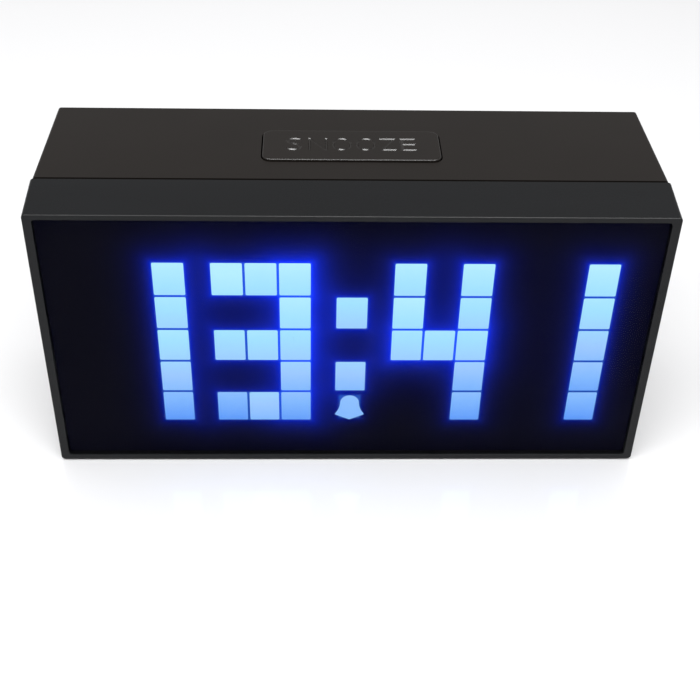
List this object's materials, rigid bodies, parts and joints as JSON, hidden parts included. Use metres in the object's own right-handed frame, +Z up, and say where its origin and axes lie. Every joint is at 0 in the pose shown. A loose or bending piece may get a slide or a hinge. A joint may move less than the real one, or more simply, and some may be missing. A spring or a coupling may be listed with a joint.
{
  "type": "digital desk alarm clock",
  "caption": "Slab-shaped desk alarm clock: block-digit light display behind a smoked front panel, wide snooze button on top, setting keys, buzzer and battery door at the back.",
  "frame": {"origin": "middle of the footprint, on the surface that the feet stand on", "axes": "+X to the right of someone facing the display (the width, 165 mm), +Y from the display to the back (the depth, 57 mm), +Z up"},
  "size_m": [0.1666, 0.057, 0.084],
  "materials": {
    "housing_plastic": "satin warm dark grey, finely spark-textured",
    "bezel_plastic": "satin dark grey, smoother than the housing",
    "button_plastic": "satin dark grey",
    "smoked_acrylic": "polished smoked acrylic",
    "diffuser_film": "matt translucent film",
    "grid_plastic": "matt black",
    "circuit_board": "solder mask over glass-fibre laminate",
    "component_black": "moulded black",
    "plunger_black": "smooth moulded",
    "connector_nylon": "natural nylon",
    "capacitor_sleeve": "shrunk PVC sleeve",
    "crystal_can": "drawn steel can",
    "contact_metal": "nickel-plated spring brass",
    "coin_steel": "stainless steel",
    "spring_steel": "bright spring wire",
    "screw_steel": "zinc-plated",
    "cable_jacket": "soft PVC",
    "foot_rubber": "matt rubber"
  },
  "bodies": {
    "case": {"alarm_key_switch_body": "component_black", "battery_contact_negative": "contact_metal", "battery_contact_positive": "contact_metal", "buzzer": "component_black", "case_screw_1": "screw_steel", "case_screw_2": "screw_steel", "case_screw_3": "screw_steel", "case_screw_4": "screw_steel", "coin_cell": "coin_steel", "control_board": "circuit_board", "control_board_screw_1": "screw_steel", "control_board_screw_2": "screw_steel", "control_board_screw_3": "screw_steel", "control_board_screw_4": "screw_steel", "control_header": "connector_nylon", "crystal": "crystal_can", "dc_jack": "component_black", "dc_jack_pin": "contact_metal", "diffuser_film": "diffuser_film", "down_key_switch_body": "component_black", "foot_1": "foot_rubber", "foot_2": "foot_rubber", "foot_3": "foot_rubber", "foot_4": "foot_rubber", "front_bezel": "bezel_plastic", "front_lens": "smoked_acrylic", "led_board": "circuit_board", "led_board_screw_1": "screw_steel", "led_board_screw_2": "screw_steel", "led_board_screw_3": "screw_steel", "led_board_screw_4": "screw_steel", "led_driver_chip_1": "component_black", "led_driver_chip_2": "component_black", "led_header": "connector_nylon", "light_grid": "grid_plastic", "microcontroller": "component_black", "rear_housing": "housing_plastic", "ribbon_cable": "cable_jacket", "set_key_switch_body": "component_black", "smoothing_capacitor": "capacitor_sleeve", "snooze_board": "circuit_board", "snooze_board_screw_left": "screw_steel", "snooze_board_screw_right": "screw_steel", "snooze_lead": "cable_jacket", "snooze_spring_left": "spring_steel", "snooze_spring_right": "spring_steel", "snooze_switch_body": "component_black", "up_key_switch_body": "component_black"},
    "snooze_button": {"snooze_button": "button_plastic"},
    "snooze_plunger": {"snooze_switch_plunger": "plunger_black"},
    "battery_door": {"battery_door": "housing_plastic"},
    "set_key": {"set_key": "button_plastic"},
    "set_plunger": {"set_key_switch_plunger": "plunger_black"},
    "up_key": {"up_key": "button_plastic"},
    "up_plunger": {"up_key_switch_plunger": "plunger_black"},
    "down_key": {"down_key": "button_plastic"},
    "down_plunger": {"down_key_switch_plunger": "plunger_black"},
    "alarm_key": {"alarm_key": "button_plastic"},
    "alarm_plunger": {"alarm_key_switch_plunger": "plunger_black"}
  },
  "joints": [
    {"name": "snooze_press", "type": "slide", "parent": "case", "child": "snooze_button", "axis": [0, 0, -1], "range_m": [0, 0.0008], "stiffness_N_per_m": 1200, "springref_m": -0.0006, "deforming": ["snooze_spring_left", "snooze_spring_right"]},
    {"name": "snooze_plunger_press", "type": "slide", "parent": "case", "child": "snooze_plunger", "axis": [0, 0, -1], "range_m": [0, 0.0008]},
    {"name": "set_key_press", "type": "slide", "parent": "case", "child": "set_key", "axis": [0, -1, 0], "range_m": [0, 0.0006], "stiffness_N_per_m": 1500, "springref_m": -0.0003},
    {"name": "set_plunger_press", "type": "slide", "parent": "case", "child": "set_plunger", "axis": [0, -1, 0], "range_m": [0, 0.0006]},
    {"name": "up_key_press", "type": "slide", "parent": "case", "child": "up_key", "axis": [0, -1, 0], "range_m": [0, 0.0006], "stiffness_N_per_m": 1500, "springref_m": -0.0003},
    {"name": "up_plunger_press", "type": "slide", "parent": "case", "child": "up_plunger", "axis": [0, -1, 0], "range_m": [0, 0.0006]},
    {"name": "down_key_press", "type": "slide", "parent": "case", "child": "down_key", "axis": [0, -1, 0], "range_m": [0, 0.0006], "stiffness_N_per_m": 1500, "springref_m": -0.0003},
    {"name": "down_plunger_press", "type": "slide", "parent": "case", "child": "down_plunger", "axis": [0, -1, 0], "range_m": [0, 0.0006]},
    {"name": "alarm_key_press", "type": "slide", "parent": "case", "child": "alarm_key", "axis": [0, -1, 0], "range_m": [0, 0.0006], "stiffness_N_per_m": 1500, "springref_m": -0.0003},
    {"name": "alarm_plunger_press", "type": "slide", "parent": "case", "child": "alarm_plunger", "axis": [0, -1, 0], "range_m": [0, 0.0006]},
    {"name": "battery_door_hinge", "type": "hinge", "parent": "case", "child": "battery_door", "pos_m": [0.053, 0.0274, 0.0271], "axis": [-1, 0, 0], "range_deg": [0, 100]}
  ],
  "couplings": [
    {"joint": "snooze_plunger_press", "follows": "snooze_press", "ratio": 1},
    {"joint": "set_plunger_press", "follows": "set_key_press", "ratio": 1},
    {"joint": "up_plunger_press", "follows": "up_key_press", "ratio": 1},
    {"joint": "down_plunger_press", "follows": "down_key_press", "ratio": 1},
    {"joint": "alarm_plunger_press", "follows": "alarm_key_press", "ratio": 1}
  ]
}
